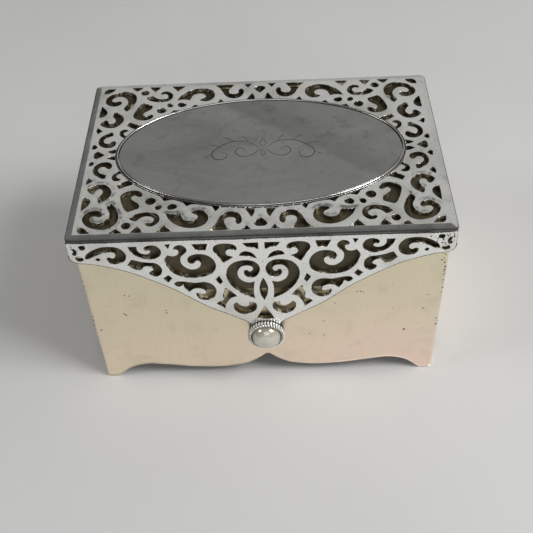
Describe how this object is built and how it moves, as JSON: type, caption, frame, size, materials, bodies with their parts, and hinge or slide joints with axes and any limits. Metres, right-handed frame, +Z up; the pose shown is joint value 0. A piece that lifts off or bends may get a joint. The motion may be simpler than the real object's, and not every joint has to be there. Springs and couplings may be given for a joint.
{
  "type": "trinket box",
  "caption": "Hinged metal trinket box on corner feet, with a pierced scroll lid, an oval plaque, a pierced front flap, a round cabochon knob and a lined interior.",
  "frame": {"origin": "centre of the overall bounding box in plan, on the plane the feet stand on", "axes": "+X to the viewer's right along the width, -Y to the front with the knob, +Z up"},
  "size_m": [0.126, 0.0916, 0.0762],
  "materials": {
    "silver_plate": "bright silver plate, lightly worn",
    "plaque_silver": "polished silver plate with an engraved flourish",
    "rose_metal": "brushed champagne to rose plated metal with small pits",
    "gold_tone_sheet": "dull gold-tone sheet",
    "mirror_glass": "clear mirror",
    "pearl": "glossy pearl",
    "velvet_lining": "soft velvet",
    "hinge_steel": "plain plated steel"
  },
  "bodies": {
    "case": {"body_shell": "rose_metal", "floor_plate": "rose_metal", "lining_floor": "velvet_lining", "lining_front": "velvet_lining", "lining_back": "velvet_lining", "lining_left": "velvet_lining", "lining_right": "velvet_lining", "hinge_body_leaf_left": "hinge_steel", "hinge_body_leaf_right": "hinge_steel", "hinge_pin_left": "hinge_steel", "hinge_pin_right": "hinge_steel"},
    "lid": {"lid_top": "silver_plate", "lid_flap": "silver_plate", "lid_side_left": "silver_plate", "lid_side_right": "silver_plate", "lid_back_rail": "silver_plate", "oval_bezel": "silver_plate", "knob_bezel": "silver_plate", "oval_plaque": "plaque_silver", "lid_backing": "gold_tone_sheet", "flap_backing": "gold_tone_sheet", "lid_mirror": "mirror_glass", "knob_pearl": "pearl", "hinge_lid_leaf_left": "hinge_steel", "hinge_lid_leaf_right": "hinge_steel", "knob_rivet": "hinge_steel"}
  },
  "joints": [
    {"name": "lid_hinge", "type": "hinge", "parent": "case", "child": "lid", "pos_m": [0, 0.04437, 0.0662], "axis": [-1, 0, 0], "range_deg": [0, 100]}
  ]
}
